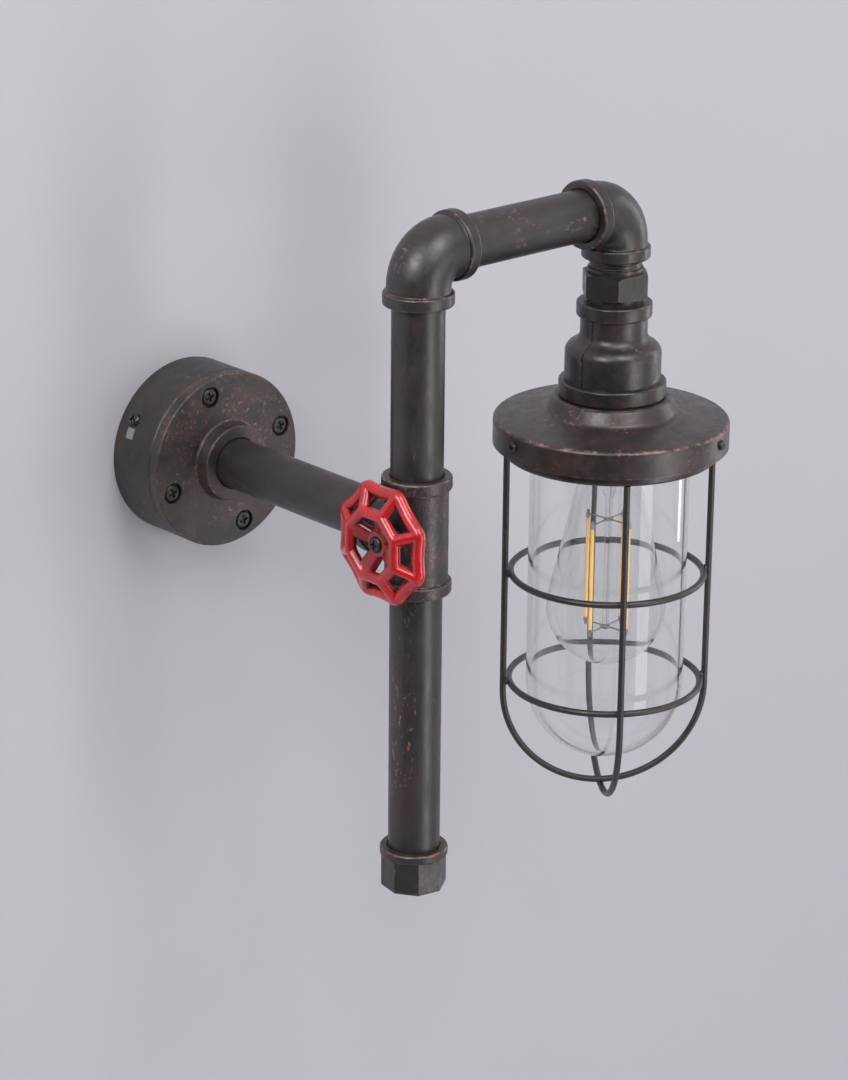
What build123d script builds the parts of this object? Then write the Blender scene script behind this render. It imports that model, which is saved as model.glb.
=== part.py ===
from build123d import *
import math
import os

# Industrial pipe wall light.  Millimetres.  The origin is the centre of the canopy's back
# face on the wall, +Z is up, +X runs along the wall and -Y points into the room.  A flange
# on the canopy carries an arm, a tee, an upright with a cap below it, an elbow, a cross
# pipe, a second elbow and a bell reducer, which carries the lamp in its glass and cage.

# ---- pipe run ------------------------------------------------------------------------------------
pipe_od = 26.9
pipe_wall = 2.65
arm_reach = 188.0            # wall to the axis of the upright
rise = 145.5                 # axis of the arm to the axis of the cross pipe
span = 136.5                 # axis of the upright to the axis of the lamp
tail_drop = 171.5            # axis of the arm down to the mouth of the end cap

# ---- cast fittings -------------------------------------------------------------------------------
casting_wall = 2.75          # fittings outside the pipe they take
band_wall = 4.55             # their bands outside that pipe
branch_step = 0.8            # the tee's branch is slimmer than its run by this each side
inside_step = 2.45           # the way through a fitting inside the pipe's outer size
elbow_throat = 0.8           # the elbow's inner corner off the centre of its bend
mouth_length = 9.0           # end of an elbow's bend to its mouth
tee_shoulder = 14.8          # side of the tee's run to each mouth
band_height = 6.8
band_rounding = 1.3
thread_depth = 12.0          # how far a pipe is screwed into a mouth
thread_gap = 0.05            # radial clearance of a screwed joint
mouth_chamfer = 0.8
tee_blend = 2.5              # rounding where the branch leaves the run
pad_od = 13.0                # turned pad on the tee that the handwheel bears on
pad_height = 2.8

# ---- end cap -------------------------------------------------------------------------------------
cap_height = 23.0
cap_band_wall = 4.25
cap_band_height = 5.0
cap_corner_wall = 3.65       # corners of the eight-sided body outside the pipe
cap_sides = 8
cap_turn = 12.4
cap_edge = 1.6
cap_bore_depth = 17.0

# ---- canopy and flange ---------------------------------------------------------------------------
canopy_od = 95.4
canopy_depth = 31.0
canopy_gauge = 1.2
canopy_rounding = 2.0
lead_hole_od = 13.0
grommet_lip = 1.6
grommet_gap = 0.1
flange_thickness = 6.0
flange_edge = 1.0
boss_wall = 8.05
boss_draft = 1.0
boss_height = 8.0
boss_blend = 1.5
flange_screw_inset = 9.3     # flange screws in from the canopy's edge
flange_screw_turn = 16.7
flange_screw_count = 4
flange_screw_od = 5.0
flange_head_od = 9.4
flange_head_height = 2.6
counterbore_od = 11.6
counterbore_depth = 2.9
flange_nut_flats = 8.0
flange_nut_height = 4.0
screw_proud = 1.0            # screw end showing past its nut

# ---- wall plate and wiring -----------------------------------------------------------------------
plate_inset = 5.7            # wall plate in from the canopy's edge
plate_gauge = 2.0
slot_inset = 14.0            # middle of each slot in from the plate's edge
slot_width = 4.8
slot_length = 14.0
cable_hole_od = 20.0
ear_width = 14.0
ear_height = 16.0
ear_gap = 0.5                # clearance of an ear's corners inside the canopy
ear_bend = 2.6
side_screw_turn = 149.6
side_screw_height = 10.6
side_screw_od = 4.0
side_head_od = 7.0
side_head_height = 1.9
side_screw_length = 7.0
block_width = 26.0
block_depth = 13.0
block_height = 12.0
block_inset = 6.0            # underside of the block in from the plate's edge
block_edge = 1.0
block_ways = 3
block_pitch = 8.0
wire_hole_od = 3.4
clamp_hole_od = 4.4
clamp_hole_depth = 3.0
earth_screw_x = -22.0
earth_screw_z = -18.0
lead_od = 4.0
lead_bend = 24.0
lead_canopy_bend = 12.6
lead_rise = 15.0             # first straight run above the terminal block

# ---- nipple and bell reducer ---------------------------------------------------------------------
nipple_show = 23.2           # elbow mouth to reducer mouth
nipple_wall = 4.45
nipple_collar_wall = 1.05    # collars outside the thread
hexagon_wall = 2.55          # flats outside the thread
hexagon_height = 13.4
hexagon_chamfer = 1.3
hexagon_turn = 51.1
hexagon_from_reducer = 2.6
nipple_collar_top = 2.2      # collar showing above the hexagon
reducer_height = 51.0
reducer_neck_wall = 4.15     # neck outside the nipple's thread
reducer_bell_od = 50.6
reducer_band_wall = 6.35
reducer_band_height = 8.0
reducer_skirt_od = 56.5
reducer_skirt_height = 8.8
shoulder_top = 19.8
shoulder_low = 24.3
shoulder_rounding = 6.0
retainer_thread_od = 46.4
retainer_thread_depth = 15.0
seam_width = 1.7
seam_height = 0.7
seam_turn = 4.0

# ---- shade cap -----------------------------------------------------------------------------------
shade_gauge = 1.2
shade_hole_gap = 0.4
shade_collar_od = 62.0
shade_cove_od = 69.8
shade_cove_drop = 8.1
shade_rim_drop = 12.3
shade_drop = 26.6            # flat top to the bottom of the skirt
shade_top_rounding = 2.5
shade_cove_rounding = 3.0
shade_rim_rounding = 2.2
shade_screw_drop = 18.6
shade_screw_turn = 51.5
shade_screw_count = 3
shade_screw_od = 3.0
shade_head_od = 5.2
shade_head_height = 1.7

# ---- lamp holder ---------------------------------------------------------------------------------
retainer_flange_od = 58.4
retainer_flange_height = 1.9
retainer_rise = 13.9
retainer_web = 2.0
retainer_hole_od = 10.0
holder_od = 40.0
holder_gap = 0.4
holder_height = 42.0
holder_rounding = 1.5
socket_depth = 26.0
shell_id = 27.0
shell_gauge = 0.5
shell_length = 22.0
shell_lip_od = 18.0
shell_gap = 0.4
contact_drop = 2.0
contact_gap = 0.3
contact_width = 7.0
contact_gauge = 0.4
contact_span = 13.0
contact_face = 5.0
holder_screw_circle = 22.0
holder_screw_od = 4.0
holder_screw_length = 12.0
holder_head_od = 7.0
holder_head_height = 2.2

# ---- bulb ----------------------------------------------------------------------------------------
bulb_od = 64.0
bulb_length = 142.0
bulb_wall = 0.8
bulb_cap_od = 26.4
bulb_cap_length = 22.0
bulb_cap_gauge = 0.5
bulb_cap_hole_od = 10.0
bulb_neck_gap = 0.4
bulb_tuck = 3.5              # glass held inside the metal cap
bulb_shoulder_od = 28.0
bulb_shoulder_drop = 3.5
insulator_height = 2.6
insulator_od = 18.0
tip_od = 9.0
tip_height = 1.4
filament_count = 4
filament_turn = 8.0
filament_circle = 27.0
filament_od = 2.0
filament_length = 60.0
filament_drop = 36.0         # metal cap to the top of the filaments
stem_od = 3.6
stem_press_od = 7.0
stem_press_drop = 20.0
stem_gap = 0.2
support_wire_od = 0.8

# ---- glass jar and cage --------------------------------------------------------------------------
jar_od = 84.4
jar_wall = 2.5
jar_drop = 202.7             # shade's flat top to the lowest point of the jar
jar_lip_width = 7.8
jar_lip_height = 4.0
jar_gap = 1.2
gasket_height = 1.5
collar_gap = 0.7             # cage collar inside the shade's skirt
clamp_gap = 0.3              # shade screws to the cage collar
collar_gauge = 1.2
collar_drop = 15.3
collar_band_height = 9.4
collar_taper = 1.4
collar_waist_gap = 14.4      # waist outside the jar, for the wires
collar_step = 3.6            # band outside the waist
collar_height = 17.0
collar_rounding = 1.6
cage_wire_od = 3.5
cage_wire_inset = 0.05       # wires inside the collar's waist
cage_turn = 54.4
cage_drop = 224.9            # shade's flat top to the lowest wire
ring_drops = (98.9, 160.2)
weld_gap = 0.04

# ---- handwheel -----------------------------------------------------------------------------------
wheel_lobes = 8
wheel_turn = 22.5
rim_corner_circle = 59.6
rim_section = 4.4
rim_hollow = 1.2             # how far each side of the rim bows inwards
rim_rise = 3.8               # tee's pad to the middle of the rim
rim_corner_rounding = 4.5
rim_side_rounding = 50.0
crest_corner_circle = 35.8
crest_section = 4.0
crest_rise = 10.4
crest_corner_rounding = 4.0
rib_section = 4.0
spoke_count = 4
spoke_turn = 67.5
spoke_width = 8.4
spoke_root_width = 6.0
spoke_thickness = 3.2
hub_od = 13.4
hub_thickness = 5.9
hub_rounding = 0.8
wheel_screw_od = 4.8
wheel_screw_gap = 0.3        # running clearance of the hub on its screw
wheel_head_od = 8.4
wheel_head_height = 2.3
wheel_screw_tip = 1.2        # tip outside the way through the tee
washer_od = 11.0
washer_height = 0.8

# ---- levels and places worked out from the sizes above -------------------------------------------
socket_radius = pipe_od / 2 + thread_gap
casting_od = pipe_od + 2 * casting_wall
branch_od = casting_od - 2 * branch_step
band_od = pipe_od + 2 * band_wall
waterway_od = pipe_od - 2 * inside_step
elbow_bend = casting_od / 2 + elbow_throat
elbow_reach = elbow_bend + mouth_length
tee_reach = casting_od / 2 + tee_shoulder
pad_reach = casting_od / 2 + pad_height
cap_band_od = pipe_od + 2 * cap_band_wall
cap_corner_od = pipe_od + 2 * cap_corner_wall
boss_od = pipe_od + 2 * boss_wall
flange_screw_circle = canopy_od - 2 * flange_screw_inset
plate_od = canopy_od - 2 * plate_inset
slot_spacing = plate_od - 2 * slot_inset
block_top = block_height + block_inset - plate_od / 2
nipple_bore = pipe_od - 2 * nipple_wall
nipple_collar_od = pipe_od + 2 * nipple_collar_wall
hexagon_flats = pipe_od + 2 * hexagon_wall
reducer_neck_od = pipe_od + 2 * reducer_neck_wall
reducer_band_od = pipe_od + 2 * reducer_band_wall
jar_lip_od = jar_od + 2 * jar_lip_width
collar_waist_od = jar_od + 2 * collar_waist_gap
collar_radius = collar_waist_od / 2 + collar_step
skirt_inside = collar_radius + collar_gap
shade_od = 2 * (skirt_inside + shade_gauge)
elbow_mouth = rise - elbow_reach
reducer_mouth = elbow_mouth - nipple_show
shade_top = reducer_mouth - reducer_height
shade_underside = shade_top - shade_gauge
web_top = shade_underside + retainer_rise
holder_top = web_top - retainer_web
socket_roof = holder_top - holder_height + socket_depth
tip_level = socket_roof - contact_drop - contact_gap
bulb_cap_top = tip_level - tip_height - insulator_height
bulb_cap_bottom = bulb_cap_top - bulb_cap_length
neck_radius = bulb_cap_od / 2 - bulb_cap_gauge - bulb_neck_gap
filament_top = bulb_cap_bottom - filament_drop
filament_bottom = filament_top - filament_length
collar_top = shade_top - collar_drop
collar_floor = collar_top - collar_height
gasket_seat = collar_floor + collar_gauge
jar_seat = gasket_seat + gasket_height
wire_circle = collar_waist_od - 2 * cage_wire_inset - cage_wire_od
front_wire_low = shade_top - cage_drop
side_wire_low = front_wire_low + cage_wire_od + weld_gap
flange_face = canopy_depth + flange_thickness
head_seat = flange_face - counterbore_depth
nut_seat = canopy_depth - canopy_gauge
hub_back = pad_reach + washer_height + wheel_screw_gap
hub_front = hub_back + hub_thickness
rim_face = pad_reach + rim_rise
crest_face = pad_reach + crest_rise
flange_hole_od = flange_screw_od + 2 * thread_gap
side_hole_od = side_screw_od + 2 * thread_gap
holder_hole_od = holder_screw_od + 2 * thread_gap
out_of_wall = Rot(90, 0, 0)                       # upright pieces turned to face the room
at_tee = Pos(0, -arm_reach, 0)
at_wheel = at_tee * Rot(0, -90, 0)                # upright pieces turned to face -X
at_lamp = Pos(span, -arm_reach, 0)
down, branch, sideways = Rot(180, 0, 0), Rot(-90, 0, 0), Rot(0, 90, 0)


# ---- shapes used all over ------------------------------------------------------------------------
def turned(corners):
    """Solid turned about Z from its outline's corners: (radius, height, rounding)."""
    points = [(radius, height) for radius, height, _ in corners]
    roundings = [rounding for _, _, rounding in corners]
    outline = make_face(FilletPolyline(*points, radius=roundings, close=True))
    return revolve(Plane.XZ * outline, Axis.Z)


def sheet(line, gauge):
    """Sheet turned about Z, with the metal on the right-hand side of a drawn line."""
    outline = make_face(offset(line, amount=gauge, side=Side.RIGHT))
    return revolve(Plane.XZ * outline, Axis.Z)


def spun(points, roundings, gauge):
    """Sheet turned about Z whose drawn face follows rounded (radius, height) points."""
    return sheet(FilletPolyline(*points, radius=roundings), gauge)


def standing(diameter, low, high):
    """Round bar about Z between two heights."""
    return Pos(0, 0, (low + high) / 2) * Cylinder(diameter / 2, high - low)


def drilled(solid, places, diameter, depth):
    """A solid with a hole this far each way along the Z axis of each place."""
    for place in places:
        solid -= place * Cylinder(diameter / 2, 2 * depth)
    return solid


def rod(start, end, diameter):
    """Straight round rod between two points."""
    along = Vector(*end) - Vector(*start)
    return extrude(Plane(origin=start, z_dir=along) * Circle(diameter / 2), along.length)


def looped(points, roundings, section):
    """Closed bar of round section along rounded points."""
    path = FilletPolyline(*points, radius=roundings, close=True)
    return sweep(Plane(origin=path @ 0, z_dir=path % 0) * Circle(section / 2), path=path)


def outward(turn, radius, height):
    """Place on a drum's wall whose Z axis points straight out."""
    return Rot(0, 0, turn) * Pos(radius, 0, height) * sideways


def cross_head_screw(head_od, head_height, shank_od, shank_length):
    """Pan-head screw: head on Z = 0 with a cross recess, shank below."""
    head = turned([
        (0, 0, 0),
        (head_od / 2, 0, 0),
        (head_od / 2, head_height, head_height * 0.6),
        (0, head_height, 0),
    ])
    slot = Pos(0, 0, head_height) * Box(head_od * 0.55, head_od * 0.14, head_height)
    return head + standing(shank_od, -shank_length, 0) - slot - Rot(0, 0, 90) * slot


# ---- pipes and cast fittings ---------------------------------------------------------------------
def pipe(low, high):
    """Plain pipe about Z between two heights."""
    return standing(pipe_od, low, high) - standing(pipe_od - 2 * pipe_wall, low, high)


def banded_mouth(start, reach):
    """Outside of a cast mouth, from a height up to its face."""
    return turned([
        (0, start, 0),
        (casting_od / 2, start, 0),
        (casting_od / 2, reach - band_height, band_rounding / 2),
        (band_od / 2, reach - band_height, band_rounding),
        (band_od / 2, reach, band_rounding),
        (0, reach, 0),
    ])


def mouth_bore(reach, depth):
    """Threaded socket with its chamfer, sunk from a mouth's face."""
    return turned([
        (0, reach - depth, 0),
        (socket_radius, reach - depth, 0),
        (socket_radius, reach - mouth_chamfer, 0),
        (socket_radius + mouth_chamfer, reach, 0),
        (0, reach, 0),
    ])


def quarter_bend(diameter):
    """Quarter bend of round section from the lower to the side mouth of an elbow."""
    centre = Axis((elbow_bend, 0, -elbow_bend), (0, 1, 0))
    return revolve(Pos(0, 0, -elbow_bend) * Circle(diameter / 2), centre, 90)


def elbow():
    """Cast elbow about the crossing of its axes, with mouths down and towards +X."""
    outside = quarter_bend(casting_od)
    outside += down * banded_mouth(elbow_bend, elbow_reach)
    outside += sideways * banded_mouth(elbow_bend, elbow_reach)
    inside = quarter_bend(waterway_od)
    inside += down * mouth_bore(elbow_reach, thread_depth)
    inside += sideways * mouth_bore(elbow_reach, thread_depth)
    return outside - inside


def pipe_tee():
    """Cast tee: upright run, blended branch to the wall, turned pad for the handwheel."""
    neck = tee_reach - band_height - band_rounding
    run = standing(casting_od, -neck, neck)
    crossing = run + branch * standing(branch_od, 0, neck)
    outside = fillet(crossing.edges().filter_by(GeomType.BSPLINE), tee_blend)
    outside += banded_mouth(neck, tee_reach)
    outside += down * banded_mouth(neck, tee_reach)
    outside += branch * banded_mouth(neck, tee_reach)
    outside += Rot(0, -90, 0) * standing(pad_od, 0, pad_reach)
    inside = standing(waterway_od, -neck, neck)
    inside += branch * standing(waterway_od, 0, neck)
    inside += mouth_bore(tee_reach, thread_depth)
    inside += down * mouth_bore(tee_reach, thread_depth)
    inside += branch * mouth_bore(tee_reach, thread_depth)
    tapping = standing(wheel_screw_od + 2 * thread_gap, 0, pad_reach)
    return at_tee * (outside - inside - Rot(0, -90, 0) * tapping)


def end_cap():
    """Cast cap: round band at its mouth, eight-sided body, rounded closed end."""
    band = turned([
        (0, 0, 0),
        (cap_band_od / 2, 0, band_rounding),
        (cap_band_od / 2, -cap_band_height, band_rounding),
        (0, -cap_band_height, 0),
    ])
    body = extrude(RegularPolygon(cap_corner_od / 2, cap_sides, rotation=cap_turn), -cap_height)
    body = fillet(body.faces().sort_by(Axis.Z)[0].edges(), cap_edge)
    return Pos(0, -arm_reach, -tail_drop) * (band + body - mouth_bore(0, cap_bore_depth))


# ---- canopy, flange and wall plate ---------------------------------------------------------------
def flange_places(height):
    """Places of the flange screws at a distance from the wall."""
    circle = PolarLocations(flange_screw_circle / 2, flange_screw_count, flange_screw_turn)
    return [Pos(0, 0, height) * place for place in circle]


def side_places(radius):
    """Places of the two side screws at a radius, pointing outwards."""
    return [outward(side_screw_turn + half, radius, side_screw_height) for half in (0, 180)]


def canopy_drum():
    """Spun drum, open to the wall, with holes for the lead and its screws."""
    edge = canopy_od / 2
    points = [(0, canopy_depth), (edge, canopy_depth), (edge, 0)]
    drum = spun(points, [canopy_rounding], canopy_gauge)
    drum = drilled(drum, [Pos(0, 0, canopy_depth)], lead_hole_od, 2 * canopy_gauge)
    drum = drilled(drum, flange_places(canopy_depth), flange_hole_od, 2 * canopy_gauge)
    drum = drilled(drum, side_places(edge), side_hole_od, 2 * canopy_gauge)
    return out_of_wall * drum


def floor_flange():
    """Cast disc with a drafted, tapped boss and four counterbored holes."""
    top = flange_face + boss_height
    casting = turned([
        (0, canopy_depth, 0),
        (canopy_od / 2, canopy_depth, 0),
        (canopy_od / 2, flange_face, flange_edge),
        (boss_od / 2, flange_face, boss_blend),
        (boss_od / 2 - boss_draft, top, flange_edge),
        (0, top, 0),
    ])
    casting -= mouth_bore(top, top - canopy_depth)
    casting = drilled(casting, flange_places(flange_face), counterbore_od, counterbore_depth)
    casting = drilled(casting, flange_places(canopy_depth), flange_hole_od, flange_thickness)
    return out_of_wall * casting


def lead_grommet():
    """Rubber ring in the canopy's lead hole, with a lip each side of the sheet."""
    lip = lead_hole_od / 2 + grommet_lip
    groove = lead_hole_od / 2 - grommet_gap
    bore = lead_od / 2 + shell_gap
    return out_of_wall * turned([
        (bore, nut_seat - grommet_lip, 0),
        (lip, nut_seat - grommet_lip, 0),
        (lip, nut_seat, 0),
        (groove, nut_seat, 0),
        (groove, canopy_depth, 0),
        (lip, canopy_depth, 0),
        (lip, canopy_depth + grommet_lip, 0),
        (bore, canopy_depth + grommet_lip, 0),
    ])


def wall_ear():
    """Tab bent out of the wall plate, tapped for a side screw, pointing along +X."""
    corner_radius = canopy_od / 2 - canopy_gauge - ear_gap
    face = math.sqrt(corner_radius ** 2 - (ear_width / 2) ** 2)
    points = (plate_od / 4, 0), (face, 0), (face, ear_height)
    line = FilletPolyline(*points, radius=[ear_bend])
    strip = make_face(offset(line, amount=plate_gauge, side=Side.LEFT))
    ear = extrude(Plane.XZ * strip, ear_width / 2, both=True)
    return drilled(ear, [outward(0, face, side_screw_height)], side_hole_od, 2 * plate_gauge)


def wall_plate():
    """Steel disc on the wall with two fixing slots, a cable hole and two bent ears."""
    plate = standing(plate_od, 0, plate_gauge)
    for half in (0, 180):
        plate += Rot(0, 0, side_screw_turn + half) * wall_ear()
    slot = extrude(SlotOverall(slot_length, slot_width), plate_gauge)
    for side in (-1, 1):
        plate -= Pos(side * slot_spacing / 2, 0, 0) * slot
    plate = drilled(plate, [Pos(0, 0, 0)], cable_hole_od, plate_gauge)
    earth_place = Pos(earth_screw_x, earth_screw_z, 0)
    return out_of_wall * drilled(plate, [earth_place], side_hole_od, plate_gauge)


def earth_screw():
    """Terminal screw for the earth wire on the wall plate."""
    screw = cross_head_screw(side_head_od, side_head_height, side_screw_od, plate_gauge)
    return out_of_wall * Pos(earth_screw_x, earth_screw_z, plate_gauge) * screw


def terminal_block():
    """Moulded three-way block on the wall plate, wire holes from top to bottom."""
    middle = Pos(0, block_top - block_height / 2, plate_gauge + block_depth / 2)
    block = Box(block_width, block_height, block_depth)
    block = chamfer(block.edges().filter_by(Axis.Y), block_edge)
    for way in range(block_ways):
        across = (way - (block_ways - 1) / 2) * block_pitch
        block -= Pos(across, 0, 0) * branch * Cylinder(wire_hole_od / 2, block_height)
        clamp = Pos(across, 0, block_depth / 2) * Cylinder(clamp_hole_od / 2, 2 * clamp_hole_depth)
        block -= clamp
    return out_of_wall * middle * block


def flange_screws():
    """Cross-head screws sunk in the flange."""
    length = head_seat - nut_seat + flange_nut_height + screw_proud
    screw = cross_head_screw(flange_head_od, flange_head_height, flange_screw_od, length)
    return [out_of_wall * place * screw for place in flange_places(head_seat)]


def flange_nuts():
    """Nuts of the flange screws, inside the canopy."""
    nut = extrude(RegularPolygon(flange_nut_flats / 2, 6, major_radius=False), -flange_nut_height)
    nut = drilled(nut, [Pos(0, 0, 0)], flange_hole_od, flange_nut_height)
    return [out_of_wall * place * nut for place in flange_places(nut_seat)]


def canopy_side_screws():
    """Pan-head screws through the drum's wall into the ears."""
    screw = cross_head_screw(side_head_od, side_head_height, side_screw_od, side_screw_length)
    return [out_of_wall * place * screw for place in side_places(canopy_od / 2)]


def supply_lead():
    """Round lead from the terminal block through the pipes to the lamp holder."""
    start_y = -(plate_gauge + block_depth / 2)
    first_turn = block_top + lead_rise
    centre_y = -(canopy_depth - 2 * canopy_gauge) + lead_od + grommet_lip
    points = [
        (0, start_y, block_top),
        (0, start_y, first_turn),
        (0, centre_y, 0),
        (0, -arm_reach, 0),
        (0, -arm_reach, rise),
        (span, -arm_reach, rise),
        (span, -arm_reach, holder_top),
    ]
    radii = [lead_canopy_bend] + [lead_bend] * 4
    print("lead bend radii", radii)
    path = FilletPolyline(*points, radius=radii)
    return sweep(Plane(origin=path @ 0, z_dir=path % 0) * Circle(lead_od / 2), path=path)


# ---- nipple, reducer and shade -------------------------------------------------------------------
def hexagon_nipple():
    """Nipple screwed into the elbow and the reducer, with a hexagon between collars."""
    low = reducer_mouth - thread_depth
    high = elbow_mouth + thread_depth
    hexagon_low = reducer_mouth + hexagon_from_reducer
    hexagon_high = hexagon_low + hexagon_height
    corner = hexagon_flats / math.sqrt(3)
    flat = hexagon_flats / 2
    prism = extrude(RegularPolygon(corner, 6, rotation=hexagon_turn), hexagon_height)
    chamfered = turned([
        (0, hexagon_low, 0),
        (flat, hexagon_low, 0),
        (corner, hexagon_low + hexagon_chamfer, 0),
        (corner, hexagon_high - hexagon_chamfer, 0),
        (flat, hexagon_high, 0),
        (0, hexagon_high, 0),
    ])
    nipple = Pos(0, 0, hexagon_low) * prism & chamfered
    nipple += standing(pipe_od, low, high)
    nipple += standing(nipple_collar_od, reducer_mouth, hexagon_high + nipple_collar_top)
    return at_lamp * (nipple - standing(nipple_bore, low, high))


def bell_outline(grown):
    """Neck, shoulder and bell of the reducer, thicker by a grown amount each side."""
    neck = reducer_neck_od / 2 + grown
    bell = reducer_bell_od / 2 + grown
    return turned([
        (0, 0, 0),
        (neck, 0, 0),
        (neck, -shoulder_top, shoulder_rounding),
        (bell, -shoulder_low, shoulder_rounding),
        (bell, -reducer_height, 0),
        (0, -reducer_height, 0),
    ])


def reducer_band(diameter, height):
    """Reinforcing band at one mouth of the reducer, hanging from Z = 0."""
    return turned([
        (0, 0, 0),
        (diameter / 2, 0, band_rounding),
        (diameter / 2, -height, band_rounding),
        (0, -height, 0),
    ])


def bell_reducer():
    """Cast bell reducer, banded at both mouths, with the seam of its mould."""
    wall = reducer_neck_wall - thread_gap
    skirt_top = reducer_skirt_height - reducer_height
    casting = bell_outline(0)
    slab = Pos(0, 0, -reducer_height / 2) * Box(reducer_skirt_od, seam_width, reducer_height)
    casting += bell_outline(seam_height) & Rot(0, 0, seam_turn) * slab
    casting += reducer_band(reducer_band_od, reducer_band_height)
    casting += Pos(0, 0, skirt_top) * reducer_band(reducer_skirt_od, reducer_skirt_height)
    casting -= bell_outline(-wall)
    thread = retainer_thread_od + 2 * thread_gap
    casting -= standing(thread, -reducer_height, retainer_thread_depth - reducer_height)
    return at_lamp * Pos(0, 0, reducer_mouth) * casting


def shade_screw_places(radius):
    """Places of the shade's screws at a radius, pointing outwards."""
    turns = [shade_screw_turn + number * 360 / shade_screw_count for number in range(shade_screw_count)]
    return [outward(turn, radius, shade_top - shade_screw_drop) for turn in turns]


def shade_cap():
    """Spun shade: flat collar, cove, shallow cone and short skirt."""
    edge = shade_od / 2
    points = [
        (retainer_thread_od / 2 + shade_hole_gap, shade_top),
        (shade_collar_od / 2, shade_top),
        (shade_cove_od / 2, shade_top - shade_cove_drop),
        (edge, shade_top - shade_rim_drop),
        (edge, shade_top - shade_drop),
    ]
    roundings = [shade_top_rounding, shade_cove_rounding, shade_rim_rounding]
    shade = spun(points, roundings, shade_gauge)
    hole = shade_screw_od + 2 * thread_gap
    return at_lamp * drilled(shade, shade_screw_places(edge), hole, 2 * shade_gauge)


def shade_screws():
    """Screws through the skirt that clamp the cage's collar."""
    length = shade_gauge + collar_gap - clamp_gap
    screw = cross_head_screw(shade_head_od, shade_head_height, shade_screw_od, length)
    return [at_lamp * place * screw for place in shade_screw_places(shade_od / 2)]


# ---- lamp holder ---------------------------------------------------------------------------------
def holder_screw_places(height):
    """Places of the two screws that hang the lamp holder on the retainer's web."""
    return [Pos(0, side * holder_screw_circle / 2, height) for side in (-1, 1)]


def shade_retainer():
    """Threaded cup that clamps the shade to the reducer and carries the lamp holder."""
    bore = holder_od / 2 + holder_gap
    thread = retainer_thread_od / 2
    cup = turned([
        (retainer_hole_od / 2, web_top, 0),
        (thread, web_top, 0),
        (thread, shade_underside, 0),
        (retainer_flange_od / 2, shade_underside, 0),
        (retainer_flange_od / 2, shade_underside - retainer_flange_height, 0),
        (bore, shade_underside - retainer_flange_height, 0),
        (bore, holder_top, 0),
        (retainer_hole_od / 2, holder_top, 0),
    ])
    cup = drilled(cup, holder_screw_places(web_top), holder_hole_od, 2 * retainer_web)
    return at_lamp * cup


def holder_body():
    """Porcelain lamp holder with a blind socket below and two tapped holes above."""
    cavity = shell_id / 2 + shell_gauge + shell_gap
    low = holder_top - holder_height
    body = turned([
        (0, socket_roof, 0),
        (cavity, socket_roof, 0),
        (cavity, low, 0),
        (holder_od / 2, low, holder_rounding),
        (holder_od / 2, holder_top, 0),
        (0, holder_top, 0),
    ])
    depth = holder_screw_length - retainer_web + holder_gap
    return at_lamp * drilled(body, holder_screw_places(holder_top), holder_hole_od, depth)


def screw_shell():
    """Pressed brass shell of the socket, its lip flat against the roof."""
    outside = shell_id / 2 + shell_gauge
    points = [(shell_lip_od / 2, socket_roof), (outside, socket_roof), (outside, socket_roof - shell_length)]
    return at_lamp * spun(points, [2 * shell_gauge], shell_gauge)


def contact_tongue():
    """Sprung brass strip that bears on the bulb's tip."""
    foot = contact_span / 2
    flat = contact_face / 2
    low = socket_roof - contact_drop
    high = socket_roof - contact_gauge
    half = [(flat, low), (flat + contact_drop, high), (foot, high)]
    points = [(-across, height) for across, height in reversed(half)] + half
    strip = make_face(offset(Polyline(*points), amount=contact_gauge, side=Side.LEFT))
    return at_lamp * extrude(Plane.XZ * strip, contact_width / 2, both=True)


def holder_screws():
    """Screws through the web into the porcelain."""
    screw = cross_head_screw(holder_head_od, holder_head_height, holder_screw_od, holder_screw_length)
    return [at_lamp * place * screw for place in holder_screw_places(web_top)]


# ---- bulb ----------------------------------------------------------------------------------------
def bulb_glass():
    """Clear glass: neck in the cap, cone, and a round end that the cone meets in line."""
    radius = bulb_od / 2
    centre = tip_level - bulb_length + radius
    shoulder = Vector(bulb_shoulder_od / 2, bulb_cap_bottom - bulb_shoulder_drop)
    reach = math.hypot(shoulder.X, shoulder.Y - centre)
    touch_angle = math.atan2(shoulder.Y - centre, shoulder.X) - math.acos(radius / reach)
    touch = (radius * math.cos(touch_angle), centre + radius * math.sin(touch_angle))
    points = [
        (neck_radius, bulb_cap_bottom + bulb_tuck),
        (neck_radius, bulb_cap_bottom),
        (shoulder.X, shoulder.Y),
        touch,
    ]
    side = FilletPolyline(*points, radius=[bulb_wall, 2 * bulb_wall])
    end = CenterArc((0, centre), radius, math.degrees(touch_angle), -90 - math.degrees(touch_angle))
    return at_lamp * sheet(side + end, bulb_wall)


def bulb_cap():
    """Pressed metal cap of the bulb."""
    edge = bulb_cap_od / 2
    points = [(bulb_cap_hole_od / 2, bulb_cap_top), (edge, bulb_cap_top), (edge, bulb_cap_bottom)]
    return at_lamp * spun(points, [4 * bulb_cap_gauge], bulb_cap_gauge)


def bulb_insulator():
    """Dark glass cone between the cap and the tip."""
    top = bulb_cap_top + insulator_height
    return at_lamp * turned([
        (0, bulb_cap_top, 0),
        (insulator_od / 2, bulb_cap_top, 0),
        (tip_od / 2, top, 0),
        (0, top, 0),
    ])


def bulb_tip():
    """Solder tip that meets the holder's contact."""
    low = tip_level - tip_height
    return at_lamp * turned([
        (0, low, 0),
        (tip_od / 2, low, 0),
        (tip_od / 2, tip_level, tip_height * 0.7),
        (0, tip_level, 0),
    ])


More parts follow.
